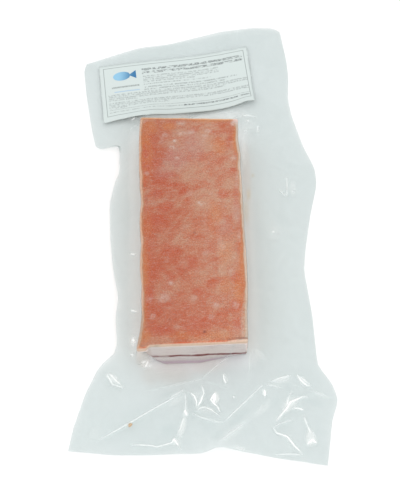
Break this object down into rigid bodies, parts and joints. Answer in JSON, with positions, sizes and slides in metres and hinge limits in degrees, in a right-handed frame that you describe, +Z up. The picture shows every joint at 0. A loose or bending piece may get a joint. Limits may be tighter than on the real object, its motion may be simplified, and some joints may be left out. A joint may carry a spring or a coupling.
{
  "type": "vacuum-packed raw tuna saku block",
  "caption": "Oblong raw tuna saku block sealed in a clear vacuum pouch with a wide creased skirt of film and a plain paper label stuck past its far end.",
  "frame": {"origin": "on the table under the middle of the pouch's outline", "axes": "+Z up, +Y along the pouch towards the labelled end, +X to the right seen from the other end"},
  "size_m": [0.213, 0.417, 0.034],
  "materials": {
    "clear_film": "clear, glossy, lightly creased",
    "label_paper": "smooth matte white paper",
    "tuna_flesh": "frozen raw fish with patches of frost",
    "label_ink": "thin matte grey print",
    "label_emblem": "matte blue print",
    "juice": "dried drops of juice"
  },
  "bodies": {
    "root": {"pouch": "clear_film", "label": "label_paper"}
  },
  "joints": []
}
